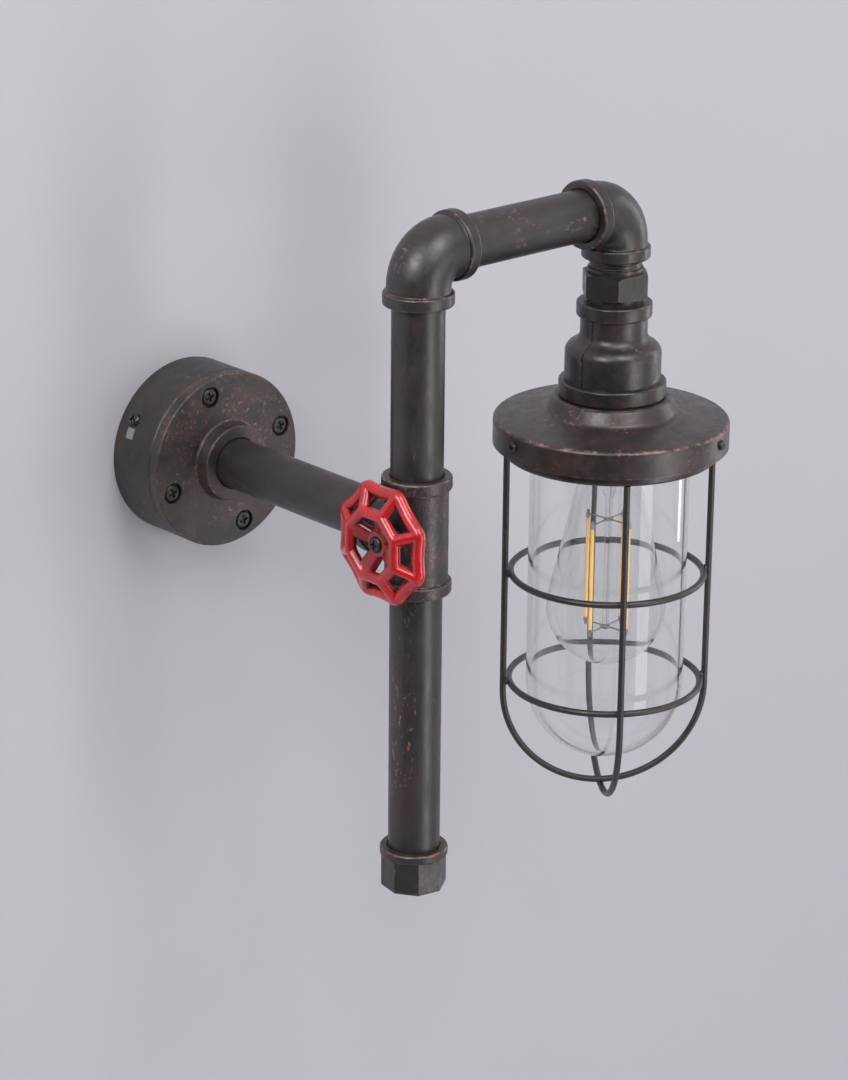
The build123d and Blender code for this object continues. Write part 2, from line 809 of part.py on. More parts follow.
def bulb_stem():
    """Glass stem: flare sealed in the neck, press and long centre rod."""
    flare = neck_radius - bulb_wall - stem_gap
    low = filament_bottom - 2 * support_wire_od
    press_low = bulb_cap_bottom - stem_press_drop
    return at_lamp * turned([
        (0, bulb_cap_bottom + bulb_wall, 0),
        (flare, bulb_cap_bottom + bulb_wall, 0),
        (flare, bulb_cap_bottom, 0),
        (stem_press_od / 2, bulb_cap_bottom - stem_press_od, stem_press_od / 2),
        (stem_press_od / 2, press_low, 0),
        (stem_od / 2, press_low - stem_od, 0),
        (stem_od / 2, low, 0),
        (0, low, 0),
    ])


def filament_places(height):
    """Places round the stem for the filaments and their wires."""
    circle = PolarLocations(filament_circle / 2, filament_count, filament_turn)
    return [Pos(0, 0, height) * place for place in circle]


def filaments():
    """Upright filament sticks."""
    stick = standing(filament_od, 0, filament_length)
    return [at_lamp * place * stick for place in filament_places(filament_bottom)]


def support_wires(height):
    """Star of wires from a ring round the stem to the filament ends."""
    ring = stem_od / 2 + weld_gap
    star = standing(2 * (ring + support_wire_od), -support_wire_od / 2, support_wire_od / 2)
    star -= standing(2 * ring, -support_wire_od, support_wire_od)
    for number in range(filament_count):
        turn = filament_turn + number * 360 / filament_count
        wire = rod((ring + support_wire_od / 2, 0, 0), (filament_circle / 2, 0, 0), support_wire_od)
        star += Rot(0, 0, turn) * wire
    return at_lamp * Pos(0, 0, height) * star


# ---- jar and cage --------------------------------------------------------------------------------
def glass_jar():
    """Clear glass jar: ground lip, straight side and round bottom."""
    radius = jar_od / 2
    centre = shade_top - jar_drop + radius
    top = jar_seat + jar_lip_height
    line = Line((radius, top), (radius, centre)) + CenterArc((0, centre), radius, 0, -90)
    lip = turned([
        (radius - jar_wall, jar_seat, 0),
        (jar_lip_od / 2, jar_seat, jar_wall / 2),
        (jar_lip_od / 2, top, jar_wall / 2),
        (radius - jar_wall, top, 0),
    ])
    return at_lamp * (sheet(line, jar_wall) + lip)


def jar_gasket():
    """Flat ring between the jar's lip and the collar."""
    bore = jar_od + 2 * jar_gap
    ring = standing(jar_lip_od, gasket_seat, jar_seat) - standing(bore, gasket_seat, jar_seat)
    return at_lamp * ring


def cage_collar():
    """Spun collar: band inside the skirt, stepped waist, floor that the jar sits on."""
    waist = collar_waist_od / 2
    step = collar_top - collar_band_height
    points = [
        (collar_radius, collar_top),
        (collar_radius, step),
        (waist, step - collar_taper),
        (waist, collar_floor),
        (jar_od / 2 + jar_gap, collar_floor),
    ]
    return at_lamp * spun(points, [collar_rounding] * 3, collar_gauge)


def cage_wire(turn, lowest):
    """U-shaped wire welded under the collar, with its lowest point at a height."""
    radius = wire_circle / 2
    centre = lowest + cage_wire_od / 2 + radius
    line = Line((radius, collar_floor), (radius, centre))
    line += CenterArc((0, centre), radius, 0, -180)
    line += Line((-radius, centre), (-radius, collar_floor))
    path = Plane.XZ * line
    start = Plane(origin=(radius, 0, collar_floor), z_dir=(0, 0, -1))
    return at_lamp * Rot(0, 0, turn) * sweep(start * Circle(cage_wire_od / 2), path=path)


def cage_ring(drop):
    """Wire ring welded inside the upright wires, smaller where they have begun to bend in."""
    reach = wire_circle / 2 - cage_wire_od - weld_gap
    bend_height = side_wire_low + cage_wire_od / 2 + wire_circle / 2
    below = max(0, bend_height - shade_top + drop)
    radius = math.sqrt(reach ** 2 - below ** 2)
    return at_lamp * Pos(0, 0, shade_top - drop) * Torus(radius, cage_wire_od / 2)


# ---- handwheel -----------------------------------------------------------------------------------
def lobe_points(circle, hollow, height):
    """Corners of the wheel and the middles of its sides, drawn in by a hollow."""
    points = []
    for number in range(wheel_lobes):
        corner = math.radians(wheel_turn + number * 360 / wheel_lobes)
        middle = corner + math.pi / wheel_lobes
        side = circle / 2 * math.cos(math.pi / wheel_lobes) - hollow
        points.append((circle / 2 * math.cos(corner), circle / 2 * math.sin(corner), height))
        points.append((side * math.cos(middle), side * math.sin(middle), height))
    return points


def spoke():
    """Slanting web from the crest ring down to the hub, along +X."""
    root = Plane.YZ * Rectangle(spoke_root_width, spoke_thickness)
    end = Plane.YZ * Rectangle(spoke_width, spoke_thickness)
    middle = hub_back + hub_thickness / 2
    return loft(Pos(hub_od / 4, 0, middle) * root + Pos(crest_corner_circle / 2, 0, crest_face) * end)


def handwheel():
    """Cast eight-lobed wheel: bowed rim, raised crest ring, ribs, spokes and hub."""
    rim_roundings = [rim_corner_rounding, rim_side_rounding] * wheel_lobes
    wheel = looped(lobe_points(rim_corner_circle, rim_hollow, rim_face), rim_roundings, rim_section)
    crest_points = lobe_points(crest_corner_circle, 0, crest_face)[::2]
    wheel += looped(crest_points, [crest_corner_rounding] * wheel_lobes, crest_section)
    rib = rod((rim_corner_circle / 2, 0, rim_face), (crest_corner_circle / 2, 0, crest_face), rib_section)
    for number in range(wheel_lobes):
        wheel += Rot(0, 0, wheel_turn + number * 360 / wheel_lobes) * rib
    for number in range(spoke_count):
        wheel += Rot(0, 0, spoke_turn + number * 360 / spoke_count) * spoke()
    wheel += turned([
        (0, hub_back, 0),
        (hub_od / 2, hub_back, hub_rounding),
        (hub_od / 2, hub_front, hub_rounding),
        (0, hub_front, 0),
    ])
    hole = wheel_screw_od + 2 * wheel_screw_gap
    return at_wheel * drilled(wheel, [Pos(0, 0, hub_back)], hole, 2 * hub_thickness)


def handwheel_screw():
    """Shouldered screw that the wheel turns on."""
    seat = hub_front + wheel_screw_gap
    tip = waterway_od / 2 + wheel_screw_tip
    screw = cross_head_screw(wheel_head_od, wheel_head_height, wheel_screw_od, seat - tip)
    return at_wheel * Pos(0, 0, seat) * screw


def handwheel_washer():
    """Flat washer on the tee's pad."""
    hole = wheel_screw_od + 2 * wheel_screw_gap
    ring = standing(washer_od, pad_reach, pad_reach + washer_height)
    return at_wheel * drilled(ring, [Pos(0, 0, pad_reach)], hole, 2 * washer_height)


# ---- every piece by name -------------------------------------------------------------------------
def numbered(name, solids):
    """Names for repeated pieces."""
    return {f"{name}_{number}": solid for number, solid in enumerate(solids, 1)}


def pipes():
    """The four pipes of the run, each screwed into its fittings."""
    elbow_end = elbow_reach - thread_depth
    tee_end = tee_reach - thread_depth
    boss_end = flange_face + boss_height - thread_depth
    cap_end = tail_drop + thread_depth
    return {
        "arm_pipe": out_of_wall * pipe(boss_end, arm_reach - tee_end),
        "upper_pipe": at_tee * pipe(tee_end, rise - elbow_end),
        "lower_pipe": at_tee * pipe(-cap_end, -tee_end),
        "cross_pipe": Pos(0, -arm_reach, rise) * sideways * pipe(elbow_end, span - elbow_end),
    }


pieces = {
    "wall_plate": wall_plate(),
    "terminal_block": terminal_block(),
    "earth_screw": earth_screw(),
    "canopy_drum": canopy_drum(),
    "lead_grommet": lead_grommet(),
    "floor_flange": floor_flange(),
    "supply_lead": supply_lead(),
    "pipe_tee": pipe_tee(),
    "end_cap": end_cap(),
    "left_elbow": Pos(0, -arm_reach, rise) * elbow(),
    "right_elbow": Pos(span, -arm_reach, rise) * Rot(0, 0, 180) * elbow(),
    "hexagon_nipple": hexagon_nipple(),
    "bell_reducer": bell_reducer(),
    "shade_cap": shade_cap(),
    "shade_retainer": shade_retainer(),
    "holder_body": holder_body(),
    "screw_shell": screw_shell(),
    "contact_tongue": contact_tongue(),
    "bulb_glass": bulb_glass(),
    "bulb_cap": bulb_cap(),
    "bulb_insulator": bulb_insulator(),
    "bulb_tip": bulb_tip(),
    "bulb_stem": bulb_stem(),
    "upper_support_wires": support_wires(filament_top + support_wire_od / 2),
    "lower_support_wires": support_wires(filament_bottom - support_wire_od / 2),
    "glass_jar": glass_jar(),
    "jar_gasket": jar_gasket(),
    "cage_collar": cage_collar(),
    "cage_wire_front": cage_wire(cage_turn, front_wire_low),
    "cage_wire_side": cage_wire(cage_turn + 90, side_wire_low),
    "cage_ring_upper": cage_ring(ring_drops[0]),
    "cage_ring_lower": cage_ring(ring_drops[1]),
    "handwheel": handwheel(),
    "handwheel_screw": handwheel_screw(),
    "handwheel_washer": handwheel_washer(),
}
pieces |= pipes()
pieces |= numbered("flange_screw", flange_screws())
pieces |= numbered("flange_nut", flange_nuts())
pieces |= numbered("canopy_side_screw", canopy_side_screws())
pieces |= numbered("shade_screw", shade_screws())
pieces |= numbered("holder_screw", holder_screws())
pieces |= numbered("filament", filaments())

os.makedirs("parts", exist_ok=True)
for name, solid in pieces.items():
    export_step(solid, f"parts/{name}.step")
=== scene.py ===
import math

import bmesh
import bpy
from mathutils import Matrix, Vector, noise


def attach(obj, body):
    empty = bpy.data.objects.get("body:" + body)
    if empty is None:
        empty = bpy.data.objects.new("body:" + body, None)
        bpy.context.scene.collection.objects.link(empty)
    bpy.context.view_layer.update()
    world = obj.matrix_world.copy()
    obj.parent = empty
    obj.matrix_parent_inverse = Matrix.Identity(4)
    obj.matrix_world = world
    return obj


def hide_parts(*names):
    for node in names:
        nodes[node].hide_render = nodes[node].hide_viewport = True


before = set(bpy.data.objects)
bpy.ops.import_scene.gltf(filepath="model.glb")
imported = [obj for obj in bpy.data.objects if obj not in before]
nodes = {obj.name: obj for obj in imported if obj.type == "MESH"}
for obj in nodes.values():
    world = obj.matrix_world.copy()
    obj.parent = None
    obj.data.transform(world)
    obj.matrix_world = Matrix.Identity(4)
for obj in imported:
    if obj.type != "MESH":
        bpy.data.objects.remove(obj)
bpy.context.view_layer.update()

# ---- wall, floor and camera --------------------------------------------------------------
# The light hangs on a plain plastered wall, painted a pale lavender grey. Seen from behind
# the wall is clear, and open behind the canopy, so that the light's back shows. The floor
# is a grey screed, well below.
WALL_GREY = (0.560, 0.555, 0.588)
TROWEL_LIFT = 1.02
TROWEL_GRAIN, PLASTER_GRAIN = 0.35, 0.004
SCREED_GREY = (0.52, 0.51, 0.54)
SCREED_PALE = (0.56, 0.55, 0.58)
WALL_GAP = 0.0003
WALL_SIZE = 5.0
CABLE_HOLE = 0.0465
FLOOR_LEVEL = -1.6
CAMERA_PLACE = (-1.1216, -1.4361, 0.6058)
YAW, PITCH, ROLL = (math.radians(angle) for angle in (42.075, 19.968, 0.547))
FOCAL_SHARE = 3547.7 / 1080
SENSOR = 24.0


class Value:
    """One socket of a finish's nodes. Sums with it add Math nodes, so 1 - mask works."""

    def __init__(self, finish, socket):
        self.finish, self.socket = finish, socket

    def maths(self, operation, *terms):
        return self.finish.node("ShaderNodeMath", {"operation": operation}, dict(enumerate(terms)))

    def __add__(self, other):
        return self.maths("ADD", self, other)

    def __sub__(self, other):
        return self.maths("SUBTRACT", self, other)

    def __rsub__(self, other):
        return self.maths("SUBTRACT", other, self)

    def __mul__(self, other):
        return self.maths("MULTIPLY", self, other)

    def __gt__(self, other):
        return self.maths("GREATER_THAN", self, other)

    def __lt__(self, other):
        return self.maths("LESS_THAN", self, other)

    def __abs__(self):
        return self.maths("ABSOLUTE", self)

    __radd__, __rmul__ = __add__, __mul__

    def or_more(self, other):
        """The larger of the two."""
        return self.maths("MAXIMUM", self, other)

    def between(self, low, high):
        """0 below low, 1 above high, and a smooth step between them."""
        step = {"Value": self, "From Min": low, "From Max": high}
        return self.finish.node("ShaderNodeMapRange", {"interpolation_type": "SMOOTHSTEP"}, step)


class Finish:
    """A material with its shader, and the nodes that vary it over the surface."""

    def __init__(self, name, **constants):
        self.material = bpy.data.materials.new(name)
        self.material.use_nodes = True
        self.tree = self.material.node_tree
        self.shader = self.tree.nodes["Principled BSDF"]
        self.set(**constants)

    @classmethod
    def of_world(cls, world):
        """The same for a world and its background."""
        made = cls.__new__(cls)
        made.tree = world.node_tree
        made.shader = made.tree.nodes["Background"]
        return made

    def set(self, **sockets):
        """Values or links of the shader's sockets, named with _ for a space."""
        for name, value in sockets.items():
            self.join(self.shader.inputs[name.replace("_", " ")], value)

    def join(self, socket, value):
        """Gives a socket its link, its colour or its plain value."""
        if isinstance(value, Value):
            self.tree.links.new(value.socket, socket)
        elif socket.type == "RGBA":
            socket.default_value = (*value, 1.0)
        else:
            socket.default_value = value

    def node(self, kind, settings, sockets, output=0):
        """Any node: its settings first, then the values or links of its sockets."""
        made = self.tree.nodes.new(kind)
        for name, value in settings.items():
            setattr(made, name, value)
        for name, value in sockets.items():
            self.join(made.inputs[name], value)
        return Value(self, made.outputs[output])

    def vectors(self, operation, *terms, output=0):
        """Vector Math. Its output is Value where the result is a number."""
        sockets = dict(enumerate(terms))
        return self.node("ShaderNodeVectorMath", {"operation": operation}, sockets, output)

    def place(self, kind="Object"):
        """The point on the piece, in metres from the middle of the canopy's back."""
        return self.node("ShaderNodeTexCoord", {}, {}, kind)

    def parts(self, vector):
        """X, Y and Z of a vector."""
        split = self.node("ShaderNodeSeparateXYZ", {}, {"Vector": vector}).socket.node
        return [Value(self, socket) for socket in split.outputs]

    def noise(self, grain, detail=3.0, rough=0.5, stretch=(1, 1, 1)):
        """Noise from 0 to 1 whose lumps are about grain metres across."""
        at = self.vectors("MULTIPLY", self.place(), stretch)
        sizes = {"Vector": at, "Scale": 1 / grain, "Detail": detail, "Roughness": rough}
        return self.node("ShaderNodeTexNoise", {}, sizes)

    def colours(self, share, first, second):
        """One colour turning into another as share goes from 0 to 1."""
        sockets = {0: share, 6: first, 7: second}
        return self.node("ShaderNodeMix", {"data_type": "RGBA"}, sockets, 2)

    def bumps(self, height, deep):
        """Normals of a surface with this relief, deep metres from 0 to 1."""
        relief = {"Height": height, "Distance": deep, "Strength": 1.0}
        return self.node("ShaderNodeBump", {}, relief)

    def gives_way(self, share, other):
        """Lets another shader take over from the finish's own, as share goes from 0 to 1."""
        both = {0: share, 1: Value(self, self.shader.outputs[0]), 2: other}
        mixed = self.node("ShaderNodeMixShader", {}, both)
        self.tree.links.new(mixed.socket, self.tree.nodes["Material Output"].inputs["Surface"])


def linked(name, data):
    """A new object in the scene, of a mesh, curve, lamp or camera."""
    made = bpy.data.objects.new(name, data)
    bpy.context.scene.collection.objects.link(made)
    return made


def flat_square(name, size, matrix, finish):
    """A plain square of the stage, which isn't part of the light."""
    half = size / 2
    corners = [(-half, -half, 0), (half, -half, 0), (half, half, 0), (-half, half, 0)]
    mesh = bpy.data.meshes.new(name)
    mesh.from_pydata(corners, [], [(0, 1, 2, 3)])
    mesh.materials.append(finish.material)
    square = linked(name, mesh)
    square.matrix_world = matrix


plaster = Finish("plaster", Roughness=0.9, Specular_IOR_Level=0.2)
trowelled = plaster.noise(TROWEL_GRAIN, detail=2.0).between(0.3, 0.7)
wall_pale = [TROWEL_LIFT * part for part in WALL_GREY]
plaster.set(Base_Color=plaster.colours(trowelled, WALL_GREY, wall_pale))
plaster.set(Normal=plaster.bumps(plaster.noise(PLASTER_GRAIN, detail=4.0), deep=0.00008))
clear = plaster.node("ShaderNodeBsdfTransparent", {}, {})
along, outwards, up = plaster.parts(plaster.node("ShaderNodeNewGeometry", {}, {}, "Position"))
cable_way = along * along + up * up < CABLE_HOLE * CABLE_HOLE
from_behind = plaster.node("ShaderNodeNewGeometry", {}, {}, "Backfacing")
plaster.gives_way(from_behind.or_more(cable_way), clear)
standing = Matrix.Rotation(math.pi / 2, 4, "X")
wall_matrix = Matrix.Translation((0, WALL_GAP, 0)) @ standing
flat_square("wall_backdrop", WALL_SIZE, wall_matrix, plaster)

screed = Finish("screed", Roughness=0.85)
screed.set(Base_Color=screed.colours(screed.noise(0.2), SCREED_GREY, SCREED_PALE))
floor_matrix = Matrix.Translation((0, -WALL_SIZE / 2, FLOOR_LEVEL))
flat_square("floor", WALL_SIZE, floor_matrix, screed)

ahead = Vector((
    math.sin(YAW) * math.cos(PITCH),
    math.cos(YAW) * math.cos(PITCH),
    -math.sin(PITCH),
))
level = Vector((math.cos(YAW), -math.sin(YAW), 0))
upright = level.cross(ahead)
across = math.cos(ROLL) * level + math.sin(ROLL) * upright
upwards = math.cos(ROLL) * upright - math.sin(ROLL) * level
camera = linked("camera", bpy.data.cameras.new("camera"))
camera.data.sensor_fit = "VERTICAL"
camera.data.sensor_height = SENSOR
camera.data.lens = FOCAL_SHARE * SENSOR
turned = Matrix((across, upwards, -ahead)).transposed().to_4x4()
camera.matrix_world = Matrix.Translation(CAMERA_PLACE) @ turned
bpy.context.scene.camera = camera
bpy.context.scene.view_settings.view_transform = "Standard"

# ---- lights ------------------------------------------------------------------------------
# Soft boxes high in front and high on the left, and two tall strips on the right that draw
# the long highlights on the pipes. The room is pale grey, and dark on one side where only
# the metal mirrors it.
ROOM_GREY = (0.54, 0.535, 0.562)
ROOM_DARK = (0.06, 0.058, 0.06)
DARK_WAY = (-0.80, -0.50, -0.33)
# Each box has its place, its target, its width and height, and its watts.
SOFT_BOXES = {
    "front_box": ((-0.05, -1.50, 1.45), (0.06, -0.1, 0.0), (0.9, 1.2), 16.0),
    "tall_strip": ((0.42, -1.75, -0.45), (0.0, -0.19, 0.0), (0.50, 1.5), 8.0),
    "side_strip": ((1.75, -0.55, 0.15), (0.13, -0.19, 0.0), (0.25, 1.6), 5.5),
    "left_box": ((-1.9, -0.75, 1.5), (-0.2, 0.0, 0.1), (1.4, 1.2), 31.0),
}


def soft_box(name, place, target, size, watts):
    """A rectangular lamp at a place, turned towards a target. It doesn't show in glass."""
    lamp = bpy.data.lights.new(name, "AREA")
    lamp.shape = "RECTANGLE"
    lamp.size, lamp.size_y = size
    lamp.energy = watts
    box = linked(name, lamp)
    box.visible_transmission = False
    facing = (Vector(target) - Vector(place)).to_track_quat("-Z", "Y")
    box.matrix_world = Matrix.Translation(place) @ facing.to_matrix().to_4x4()


for name, setting in SOFT_BOXES.items():
    soft_box(name, *setting)
room = bpy.data.worlds.new("room")
room.use_nodes = True
studio = Finish.of_world(room)
to_dark = studio.vectors("DOT_PRODUCT", studio.place("Generated"), DARK_WAY, output="Value")
in_view = studio.node("ShaderNodeLightPath", {}, {}, "Is Camera Ray")
in_glass = studio.node("ShaderNodeLightPath", {}, {}, "Is Transmission Ray")
dark_side = to_dark.between(0.15, 0.85) * (1 - in_view.or_more(in_glass))
studio.set(Color=studio.colours(dark_side, ROOM_GREY, ROOM_DARK))
bpy.context.scene.world = room

# ---- wall plate and wiring ---------------------------------------------------------------
# A zinc-plated steel disc is screwed to the wall through its two slots. It carries a white
# moulded terminal block, the earth screw, and two bent ears for the canopy's side screws.
ZINC = (0.56, 0.57, 0.58)
ZINC_DULL = (0.36, 0.37, 0.38)
PLATING_CLOUD, PLATING_SCUFF = 0.009, 0.0006
NYLON_WHITE = (0.78, 0.77, 0.73)
NYLON_SHADE = (0.68, 0.66, 0.61)
GROMMET_BLACK = (0.016, 0.016, 0.017)
LEAD_GREY = (0.055, 0.054, 0.056)
LEAD_WORN = (0.08, 0.078, 0.08)


def dress(finish, *names):
    """Gives CAD nodes their finish."""
    for name in names:
        for holder in nodes[name].material_slots:
            holder.material = finish.material


def numbered(name, count):
    """The names of like nodes, numbered from 1."""
    return [f"{name}_{number}" for number in range(1, count + 1)]


def plated(name, bright, dull):
    """Plated steel: a bright coat with cloudy dull patches and fine rolling marks."""
    coat = Finish(name, Metallic=1.0)
    cloud = coat.noise(PLATING_CLOUD, detail=4.0).between(0.35, 0.7)
    scuff = coat.noise(PLATING_SCUFF, detail=2.0, stretch=(1, 1, 0.1))
    coat.set(Base_Color=coat.colours(cloud, bright, dull))
    coat.set(Roughness=0.26 + cloud * 0.18 + scuff * 0.08)
    coat.set(Normal=coat.bumps(scuff, deep=0.00002))
    return coat


zinc = plated("zinc_plate", ZINC, ZINC_DULL)
dress(zinc, "wall_plate", *numbered("flange_nut", 4))
nylon = Finish("white_moulding", Roughness=0.42, Subsurface_Weight=0.05)
nylon.set(Base_Color=nylon.colours(nylon.noise(0.012), NYLON_WHITE, NYLON_SHADE))
nylon.set(Normal=nylon.bumps(nylon.noise(0.0006), deep=0.00003))
dress(nylon, "terminal_block")
rubber = Finish("black_rubber")
bloom = rubber.noise(0.004, detail=4.0)
rubber.set(Base_Color=rubber.colours(bloom, GROMMET_BLACK, LEAD_GREY))
rubber.set(Roughness=0.55 + bloom * 0.25)
dress(rubber, "lead_grommet")
sleeve = Finish("lead_sleeve", Roughness=0.5)
sleeve.set(Base_Color=sleeve.colours(sleeve.noise(0.006), LEAD_GREY, LEAD_WORN))
sleeve.set(Normal=sleeve.bumps(sleeve.noise(0.0008), deep=0.00004))
dress(sleeve, "supply_lead")

# ---- canopy and flange -------------------------------------------------------------------
# A spun steel drum closed by a cast iron flange. Both are painted bronze black over copper
# paint and rubbed, so copper shows on edges and in speckles, and one patch beside the
# drum's side screw is bare.
BRONZE_BLACK = (0.0145, 0.0133, 0.0133)
BRONZE_GREY = (0.028, 0.0264, 0.0256)
BRONZE_BROWN = (0.062, 0.034, 0.028)
COPPER_RED = (0.17, 0.062, 0.050)
COPPER_PINK = (0.40, 0.195, 0.150)
CLOUD_GRAIN, STAIN_GRAIN, PATCH_GRAIN = 0.016, 0.017, 0.024
MOTTLE_GRAIN, SPOT_GRAIN, DUST_GRAIN = 0.0024, 0.0026, 0.0010
CHIP_GRAIN, BRUSH_GRAIN = 0.007, 0.0075
SWELL_GRAINS, PIT_DEPTH = 7, 0.13
EDGE_WIDTH = 0.0011
DRUM_BANDS = [(1, -0.0315, -0.0285)]
FLANGE_BANDS = [(1, -0.046, -0.031)]
PATCH_OUT, PATCH_UP, PATCH_HALF, PATCH_INNER = 0.0105, 0.0174, 0.0029, 0.9
PATCH_GREY = (0.26, 0.28, 0.265)


def rubbed(name, patches, speckle, edges, grain, sheen, brown,
           stretch=(1, 1, 1), bands=(), dark=BRONZE_BLACK, light=BRONZE_GREY):
    """Bronze-black paint rubbed back to copper: in patches, as speckle and on edges.

    Lower patches or speckle bare more copper, and so do higher edges. Grain is the size of
    the pits in metres, sheen the roughness, and brown the share of brown stains. Each of
    bands is an axis, 0 to 2, and the two places on it that a turned band lies between.
    """
    paint = Finish(name, Metallic=0.2, Specular_IOR_Level=1.0)
    cloud = paint.noise(CLOUD_GRAIN, 4.0, 0.6).between(0.3, 0.72)
    mottle = paint.noise(MOTTLE_GRAIN, 3.0, 0.65)
    base = paint.colours(cloud * 0.7 + mottle * 0.3, dark, light)
    stain = paint.noise(STAIN_GRAIN, 6.0, 0.72, stretch).between(0.42, 0.68) * brown
    base = paint.colours(stain, base, BRONZE_BROWN)
    area = paint.noise(PATCH_GRAIN, 2.0, 0.5, stretch).between(patches, patches + 0.10)
    spot = paint.noise(SPOT_GRAIN, 5.0, 0.78, stretch).between(0.55, 0.64)
    dust = paint.noise(DUST_GRAIN, 2.0, 0.6).between(speckle, speckle + 0.08)
    plain = paint.node("ShaderNodeNewGeometry", {}, {}, "Normal")
    rounded = paint.node("ShaderNodeBevel", {"samples": 4}, {"Radius": EDGE_WIDTH})
    turn = 1 - paint.vectors("DOT_PRODUCT", rounded, plain, output="Value")
    edge = turn.between(0.012, 0.10)
    here, facing = paint.parts(paint.place()), paint.parts(plain)
    for axis, low, high in bands:
        within = (here[axis] > low) * (here[axis] < high)
        slant = abs(facing[axis])
        fillet = slant.between(0.2, 0.5) * (1 - slant.between(0.88, 0.99))
        edge = edge.or_more(within * fillet)
    worn = edge * paint.noise(CHIP_GRAIN, 5.0, 0.75).between(0.90 - edges, 1.02 - edges)
    copper = (area * spot).or_more(dust * cloud * 0.6).or_more(worn)
    tint = paint.colours(mottle.between(0.35, 0.65), COPPER_RED, COPPER_PINK)
    paint.set(Base_Color=paint.colours(copper * 0.8, base, tint))
    pits = paint.noise(grain, 3.0, 0.6)
    brushed = paint.noise(BRUSH_GRAIN, 6.0, 0.75, stretch).between(0.30, 0.70)
    paint.set(Roughness=sheen - 0.05 + mottle * 0.12 + brushed * 0.17 + copper * 0.05)
    swell = paint.noise(grain * SWELL_GRAINS, 2.0)
    paint.set(Normal=paint.bumps(pits + swell * 1.5, deep=grain * PIT_DEPTH))
    return paint


drum_paint = rubbed(
    "dark_sheet", patches=0.62, speckle=0.78, edges=0.36, grain=0.0006, sheen=0.38,
    brown=0.6, bands=DRUM_BANDS,
)
across_drum, out_of_wall, up_drum = drum_paint.parts(drum_paint.place())
off_side = abs(out_of_wall + PATCH_OUT).between(PATCH_INNER * PATCH_HALF, PATCH_HALF)
off_level = abs(up_drum - PATCH_UP).between(PATCH_INNER * PATCH_HALF, PATCH_HALF)
bare = (1 - off_side) * (1 - off_level) * (across_drum < 0.0)
painted = Value(drum_paint, drum_paint.shader.inputs["Base Color"].links[0].from_socket)
drum_paint.set(Base_Color=drum_paint.colours(bare, painted, PATCH_GREY))
dress(drum_paint, "canopy_drum")
flange_paint = rubbed(
    "dark_casting", patches=0.45, speckle=0.57, edges=0.37, grain=0.0009, sheen=0.38,
    brown=1.0, bands=FLANGE_BANDS,
)
dress(flange_paint, "floor_flange")

# ---- screws of the canopy and the shade --------------------------------------------------
# Cross-head steel screws, chemically blackened, with bare metal in the worn recess. The
# hidden earth and lamp holder screws are bright steel.
BLACKENED, BARE_STEEL = (0.075, 0.080, 0.075), (0.36, 0.37, 0.35)
BRIGHT_STEEL, BRIGHT_RUBBED = (0.30, 0.30, 0.28), (0.66, 0.66, 0.64)
DRUM_SCREW, DRUM_SCREW_RUBBED = (0.035, 0.034, 0.033), (0.50, 0.50, 0.49)
RUB_GRAIN, STEEL_GRAIN = 0.0011, 0.0005


def blackened(name, dark, bare, wear):
    """Blackened steel whose recesses and edges are rubbed to bare metal."""
    steel = Finish(name, Metallic=0.9)
    rub = steel.noise(RUB_GRAIN, 4.0, 0.7).between(1 - wear, 1.18 - wear)
    steel.set(Base_Color=steel.colours(rub, dark, bare), Roughness=0.42 - rub * 0.16)
    steel.set(Normal=steel.bumps(steel.noise(STEEL_GRAIN), deep=0.00003))
    return steel


black_screw = blackened("dark_screw", BLACKENED, BARE_STEEL, wear=0.42)
dress(black_screw, "handwheel_screw", *numbered("flange_screw", 4), *numbered("shade_screw", 3))
bright_screw = blackened("bright_screw", BRIGHT_STEEL, BRIGHT_RUBBED, wear=0.6)
dress(bright_screw, "earth_screw", *numbered("holder_screw", 2))
side_screw = blackened("side_screw", DRUM_SCREW, DRUM_SCREW_RUBBED, wear=0.50)
dress(side_screw, *numbered("canopy_side_screw", 2))

# ---- pipes -------------------------------------------------------------------------------
# Steel pipe, screwed into the fittings and painted with them: smooth, with rub marks that
# run along the pipe.
PIPE_WEAR = {"speckle": 0.76, "edges": 0.25, "grain": 0.0005}
RUN = 0.45
pipe_paint = rubbed(
    "dark_pipe", patches=0.52, sheen=0.31, brown=0.5, stretch=(1, 1, RUN), **PIPE_WEAR,
)
dress(pipe_paint, "upper_pipe", "lower_pipe")
arm_paint = rubbed(
    "dark_pipe_arm", patches=0.52, sheen=0.33, brown=0.7, stretch=(1, RUN, 1), **PIPE_WEAR,
)
dress(arm_paint, "arm_pipe")
cross_paint = rubbed(
    "dark_pipe_cross", patches=0.51, sheen=0.31, brown=0.4, stretch=(RUN, 1, 1), **PIPE_WEAR,
)
dress(cross_paint, "cross_pipe")

# ---- cast fittings -----------------------------------------------------------------------
# Tee, elbows, end cap, hexagon nipple and bell reducer: sand-cast iron with a fine grain,
# banded mouths and rubbed band edges. The nipple's last turns of thread stay in sight.
TEE_BANDS = [(2, 0.0235, 0.0320), (2, -0.0320, -0.0235), (1, -0.1645, -0.1560)]
ELBOW_BANDS = [(2, 0.1190, 0.1275), (0, 0.0180, 0.0265), (0, 0.1100, 0.1185)]
REDUCER_BANDS = [(2, 0.088, 0.120)]
CAP_BANDS = [(2, -0.1950, -0.1700)]
REDUCER_BLACK = (0.010, 0.0098, 0.0100)
REDUCER_GREY = (0.021, 0.0202, 0.0200)
THREAD_LOW, THREAD_HIGH = 0.1144, 0.1196
THREAD_RADIUS, THREAD_PITCH, THREAD_CREST = 0.01345, 0.00181, 0.00042
LAMP_AXIS = (0.1365, -0.188)
TURN_STEPS = 24
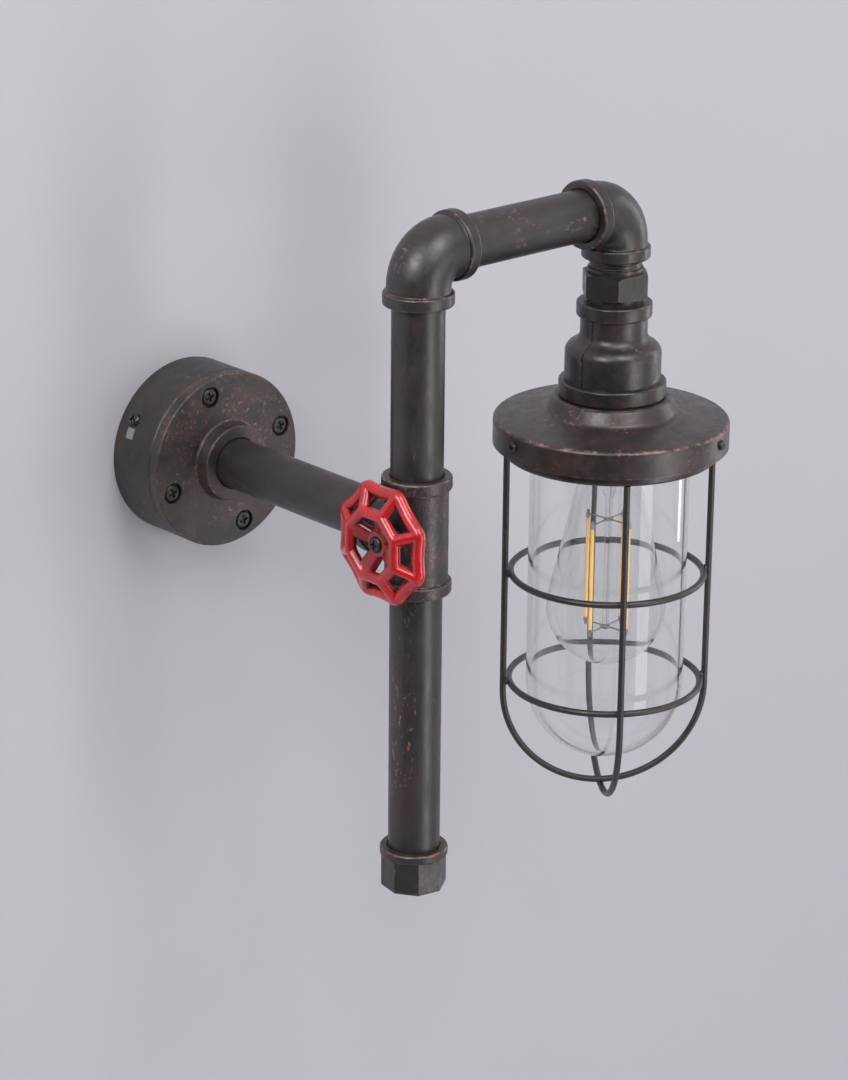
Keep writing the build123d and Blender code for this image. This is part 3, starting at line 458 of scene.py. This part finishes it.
tee_paint = rubbed(
    "cast_tee", patches=0.47, speckle=0.53, edges=0.44, grain=0.0014, sheen=0.31,
    brown=0.7, bands=TEE_BANDS,
)
dress(tee_paint, "pipe_tee")
elbow_paint = rubbed(
    "cast_elbow", patches=0.60, speckle=0.70, edges=0.38, grain=0.0008, sheen=0.27,
    brown=0.45, bands=ELBOW_BANDS,
)
dress(elbow_paint, "left_elbow", "right_elbow")
reducer_paint = rubbed(
    "cast_reducer", patches=0.60, speckle=0.68, edges=0.40, grain=0.0007, sheen=0.27,
    brown=0.6, bands=REDUCER_BANDS, dark=REDUCER_BLACK, light=REDUCER_GREY,
)
dress(reducer_paint, "hexagon_nipple", "bell_reducer")
cap_paint = rubbed(
    "cast_cap", patches=0.58, speckle=0.68, edges=0.45, grain=0.0014, sheen=0.31,
    brown=0.5, bands=CAP_BANDS,
)
dress(cap_paint, "end_cap")


def bent_wire(name, points, radius):
    """A round wire along points, smooth at every bend."""
    line = bpy.data.curves.new(name, "CURVE")
    line.dimensions = "3D"
    line.bevel_depth, line.bevel_resolution, line.use_fill_caps = radius, 3, True
    spline = line.splines.new("NURBS")
    spline.points.add(len(points) - 1)
    for point, place in zip(spline.points, points):
        point.co = (*place, 1.0)
    spline.order_u, spline.use_endpoint_u = 3, True
    return linked(name, line)


def around_lamp(radius, degrees, height):
    """A point round the lamp's own upright axis."""
    angle = math.radians(degrees)
    along, out = radius * math.cos(angle), radius * math.sin(angle)
    return (LAMP_AXIS[0] + along, LAMP_AXIS[1] + out, height)


steps = round((THREAD_HIGH - THREAD_LOW) / THREAD_PITCH * TURN_STEPS)
helix = [
    around_lamp(
        THREAD_RADIUS, 360 * step / TURN_STEPS, THREAD_LOW + THREAD_PITCH * step / TURN_STEPS
    )
    for step in range(steps)
]
thread = bent_wire("nipple_thread", helix, THREAD_CREST)
thread.data.materials.append(reducer_paint.material)
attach(thread, "fixture")

# ---- handwheel ---------------------------------------------------------------------------
# A small cast valve wheel, dipped in red enamel that pools darker in patches. Its corners
# and recesses, and its hub and spokes' roots, are darkened with painted shade.
ENAMEL_RED = (0.60, 0.009, 0.014)
ENAMEL_DEEP = (0.40, 0.006, 0.010)
# Colours of the painted shade in the wheel's corners and on its hub.
ENAMEL_CORNER_SHADE = (0.085, 0.003, 0.005)
ENAMEL_HUB_SHADE = (0.20, 0.008, 0.012)
POOL_GRAIN, RIPPLE_GRAIN = 0.010, 0.0028
CORNER_SHADE_REACH = 0.016
HUB_SHADE_FULL, HUB_SHADE_END, HUB_SHADE_SHARE = 0.011, 0.019, 0.75
WHEEL_VOXEL = 0.00045
WHEEL_COAT = 0.0011
WHEEL_FLOW = 9
WHEEL_AXIS = (-0.188, 0.0)
HUB_REACH = 0.0085
HUB_BACK = -0.0201


def smoothed(mesh, finish):
    """The mesh with smooth shading and one finish."""
    mesh.polygons.foreach_set("use_smooth", [True] * len(mesh.polygons))
    mesh.materials.clear()
    mesh.materials.append(finish.material)
    return mesh


enamel = Finish("red_enamel", Coat_Weight=0.9, Coat_Roughness=0.08, Specular_IOR_Level=0.4)
pool = enamel.noise(POOL_GRAIN).between(0.3, 0.75)
# Painted shade: the enamel turns dark red where ambient occlusion finds corners and recesses.
corners = {"Distance": CORNER_SHADE_REACH}
corner_shade = enamel.node("ShaderNodeAmbientOcclusion", {"samples": 8}, corners, "AO")
pooled_and_shaded = enamel.colours(pool, ENAMEL_RED, ENAMEL_DEEP)
off_axis = enamel.vectors("SUBTRACT", enamel.place(), (0, *WHEEL_AXIS))
off_axis = enamel.vectors("MULTIPLY", off_axis, (0, 1, 1))
from_axis = enamel.vectors("LENGTH", off_axis, output="Value")
# Painted shade: the hub and the spokes' roots, close to the wheel's axis, are darkened.
hub_shade = (1 - from_axis.between(HUB_SHADE_FULL, HUB_SHADE_END)) * HUB_SHADE_SHARE
pooled_and_shaded = enamel.colours(hub_shade, pooled_and_shaded, ENAMEL_HUB_SHADE)
pooled_and_shaded = enamel.colours(corner_shade.between(0.25, 0.85), ENAMEL_CORNER_SHADE, pooled_and_shaded)
enamel.set(Base_Color=pooled_and_shaded, Roughness=0.26 + pool * 0.08)
enamel.set(Normal=enamel.bumps(enamel.noise(RIPPLE_GRAIN, detail=2.0), deep=0.00012))

wheel = linked("enamelled_wheel", nodes["handwheel"].data.copy())
cast = wheel.modifiers.new("cast", "REMESH")
cast.mode, cast.voxel_size = "VOXEL", WHEEL_VOXEL
coat = wheel.modifiers.new("coat", "DISPLACE")
coat.mid_level, coat.strength = 0.0, WHEEL_COAT
flow = wheel.modifiers.new("flow", "SMOOTH")
flow.factor, flow.iterations = 0.5, WHEEL_FLOW
bpy.context.view_layer.update()
drawn = wheel.evaluated_get(bpy.context.evaluated_depsgraph_get())
wheel.data = bpy.data.meshes.new_from_object(drawn)
wheel.modifiers.clear()
for point in wheel.data.vertices:
    out = math.hypot(point.co.y - WHEEL_AXIS[0], point.co.z - WHEEL_AXIS[1])
    if out < HUB_REACH:
        point.co.x = min(point.co.x, HUB_BACK)
smoothed(wheel.data, enamel)
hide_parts("handwheel")
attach(wheel, "handwheel")
dress(enamel, "handwheel")
dress(zinc, "handwheel_washer")

# ---- shade cap ---------------------------------------------------------------------------
# Spun steel, sprayed brown black. Copper shows as streaks on the cove and along the rim.
# The cage's collar is painted with it, and the hidden retainer is plated.
SHADE_DARK = (0.017, 0.013, 0.013)
SHADE_BROWN = (0.038, 0.028, 0.026)
SHADE_BANDS = [(2, 0.0290, 0.0350), (2, 0.0450, 0.0460)]
shade_paint = rubbed(
    "brown_sheet", patches=0.54, speckle=0.80, edges=0.46, grain=0.0005, sheen=0.28,
    brown=0.8, bands=SHADE_BANDS, dark=SHADE_DARK, light=SHADE_BROWN,
)
dress(shade_paint, "shade_cap", "cage_collar")
dress(zinc, "shade_retainer")

# ---- lamp holder -------------------------------------------------------------------------
# Glazed porcelain holder with a pressed brass screw shell and a sprung brass contact.
# Two screws hold it up in the retainer.
GLAZE, GLAZE_CREAM = (0.80, 0.78, 0.72), (0.72, 0.70, 0.63)
BRASS, BRASS_DULL = (0.72, 0.50, 0.20), (0.45, 0.30, 0.12)
porcelain = Finish("porcelain", Coat_Weight=0.6, Coat_Roughness=0.08)
fired = porcelain.noise(0.010)
porcelain.set(Base_Color=porcelain.colours(fired, GLAZE, GLAZE_CREAM))
porcelain.set(Roughness=0.22 + fired * 0.08)
dress(porcelain, "holder_body")
dress(plated("brass", BRASS, BRASS_DULL), "screw_shell", "contact_tongue")

# ---- bulb --------------------------------------------------------------------------------
# Long clear glass bulb in a pressed metal cap, with four filament sticks held by thin
# wires round a glass stem. Each stick ends in two small metal ferrules.
GLASS_TINT = (0.985, 0.99, 0.99)
GLASS_SHADOW = (0.96, 0.965, 0.97)
BULB_BEND, STEM_ROUGHNESS = 1.45, 0.02
CAP_METAL, CAP_METAL_DULL = (0.70, 0.69, 0.66), (0.5, 0.49, 0.46)
VITRITE, VITRITE_BLOOM = (0.012, 0.010, 0.016), (0.03, 0.02, 0.035)
SOLDER, SOLDER_DULL = (0.62, 0.62, 0.63), (0.42, 0.42, 0.44)
WIRE_STEEL, WIRE_STEEL_DULL = (0.46, 0.45, 0.43), (0.28, 0.27, 0.26)
STICK_YELLOW, STICK_ORANGE = (0.86, 0.55, 0.16), (0.90, 0.44, 0.12)
STICK_PAINTED_GLOW, STICK_PAINTED_GLOW_STRENGTH = (1.0, 0.62, 0.22), 0.15
STICK_CIRCLE, STICK_TURN, STICKS = 0.0135, 8, 4
STICK_ENDS = ((-0.0843, -1), (-0.0243, 1))
FERRULE = (
    (0.00112, -0.0016), (0.00118, -0.0014), (0.00118, 0.0004),
    (0.00085, 0.0007), (0.00075, 0.0024), (0.00040, 0.0027),
)
FERRULE_SIDES = 16


def clear_glass(name, bend, smooth=0.0):
    """Clear glass that lets the lamps through to what is inside it."""
    glass = Finish(name, Transmission_Weight=1.0, Roughness=smooth, IOR=bend)
    glass.set(Base_Color=GLASS_TINT)
    shadow = glass.node("ShaderNodeLightPath", {}, {}, "Is Shadow Ray")
    through = glass.node("ShaderNodeBsdfTransparent", {}, {"Color": GLASS_SHADOW})
    glass.gives_way(shadow, through)
    return glass


dress(clear_glass("bulb_glass", BULB_BEND), "bulb_glass")
dress(clear_glass("stem_glass", BULB_BEND, STEM_ROUGHNESS), "bulb_stem")
dress(plated("cap_metal", CAP_METAL, CAP_METAL_DULL), "bulb_cap")
vitrite = Finish("cap_glass", Roughness=0.12)
vitrite.set(Base_Color=vitrite.colours(vitrite.noise(0.003), VITRITE, VITRITE_BLOOM))
dress(vitrite, "bulb_insulator")
dress(plated("solder", SOLDER, SOLDER_DULL), "bulb_tip")
stick = Finish("filament", Roughness=0.45)
stick.set(Base_Color=stick.colours(stick.noise(0.004, detail=2.0), STICK_YELLOW, STICK_ORANGE))
# The unlit filament sticks are given a faint painted glow.
stick.set(Emission_Color=STICK_PAINTED_GLOW, Emission_Strength=STICK_PAINTED_GLOW_STRENGTH)
dress(stick, *numbered("filament", STICKS))
wire_steel = plated("support_wire", WIRE_STEEL, WIRE_STEEL_DULL)
dress(wire_steel, "upper_support_wires", "lower_support_wires")


def turned_mesh(name, profile, sides, feet):
    """One mesh of small turned pieces: the same profile of radius and height at each foot.

    Each foot is a place and a way, 1 up or -1 down.
    """
    shape = bmesh.new()
    turns = [2 * math.pi * side / sides for side in range(sides)]
    for foot, way in feet:
        rings = []
        for radius, height in profile:
            rim = [(radius * math.cos(turn), radius * math.sin(turn)) for turn in turns]
            ring = [Vector(foot) + Vector((along, out, way * height)) for along, out in rim]
            rings.append([shape.verts.new(point) for point in ring])
        for below, above in zip(rings, rings[1:]):
            for side in range(sides):
                after = (side + 1) % sides
                shape.faces.new((below[side], below[after], above[after], above[side]))
        shape.faces.new(rings[0])
        shape.faces.new(rings[-1])
    bmesh.ops.recalc_face_normals(shape, faces=shape.faces)
    mesh = bpy.data.meshes.new(name)
    shape.to_mesh(mesh)
    return mesh


ends = [
    (around_lamp(STICK_CIRCLE, STICK_TURN + 360 / STICKS * number, height), way)
    for number in range(STICKS)
    for height, way in STICK_ENDS
]
ferrule_mesh = turned_mesh("filament_ferrules", FERRULE, FERRULE_SIDES, ends)
ferrules = linked("filament_ferrules", smoothed(ferrule_mesh, wire_steel))
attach(ferrules, "bulb")

# ---- glass jar and cage ------------------------------------------------------------------
# A blown clear jar stands on a rubber ring in the collar. The cage is bent from 3.5 mm
# wire, welded to the collar and painted with it. A small weld bead sits at each crossing.
JAR_BEND = 1.47
RUBBER_GREY, RUBBER_PALE = (0.35, 0.34, 0.33), (0.45, 0.44, 0.42)
BEAD_HEIGHTS = (-0.0536, -0.1149)
BEAD_TURNS = (54.4, 144.4, 234.4, 324.4)
BEAD_CIRCLE = 0.0530
BEAD_SIZE = (0.0014, 0.0022, 0.0021)
BEAD_LUMPS, LUMP_SCALE, BEAD_SPREAD = 0.16, 1.7, 900
dress(clear_glass("jar_glass", JAR_BEND), "glass_jar")
gasket = Finish("gasket_rubber", Roughness=0.7)
gasket.set(Base_Color=gasket.colours(gasket.noise(0.003), RUBBER_GREY, RUBBER_PALE))
dress(gasket, "jar_gasket")
wire_paint = rubbed(
    "dark_wire", patches=0.60, speckle=0.80, edges=0.30, grain=0.0006, sheen=0.32, brown=0.6,
)
dress(wire_paint, "cage_wire_front", "cage_wire_side", "cage_ring_upper", "cage_ring_lower")

shape = bmesh.new()
for height in BEAD_HEIGHTS:
    for turn in BEAD_TURNS:
        bead = bmesh.ops.create_icosphere(shape, subdivisions=3, radius=1.0)["verts"]
        place = Vector(around_lamp(BEAD_CIRCLE, turn, height))
        spin = Matrix.Rotation(math.radians(turn), 3, "Z")
        for point in bead:
            at = point.co * LUMP_SCALE + place * BEAD_SPREAD
            lump = 1 + BEAD_LUMPS * noise.noise(at)
            reach = Vector([part * size * lump for part, size in zip(point.co, BEAD_SIZE)])
            point.co = place + spin @ reach
bead_mesh = bpy.data.meshes.new("cage_welds")
shape.to_mesh(bead_mesh)
beads = linked("cage_welds", smoothed(bead_mesh, wire_paint))
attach(beads, "cage")
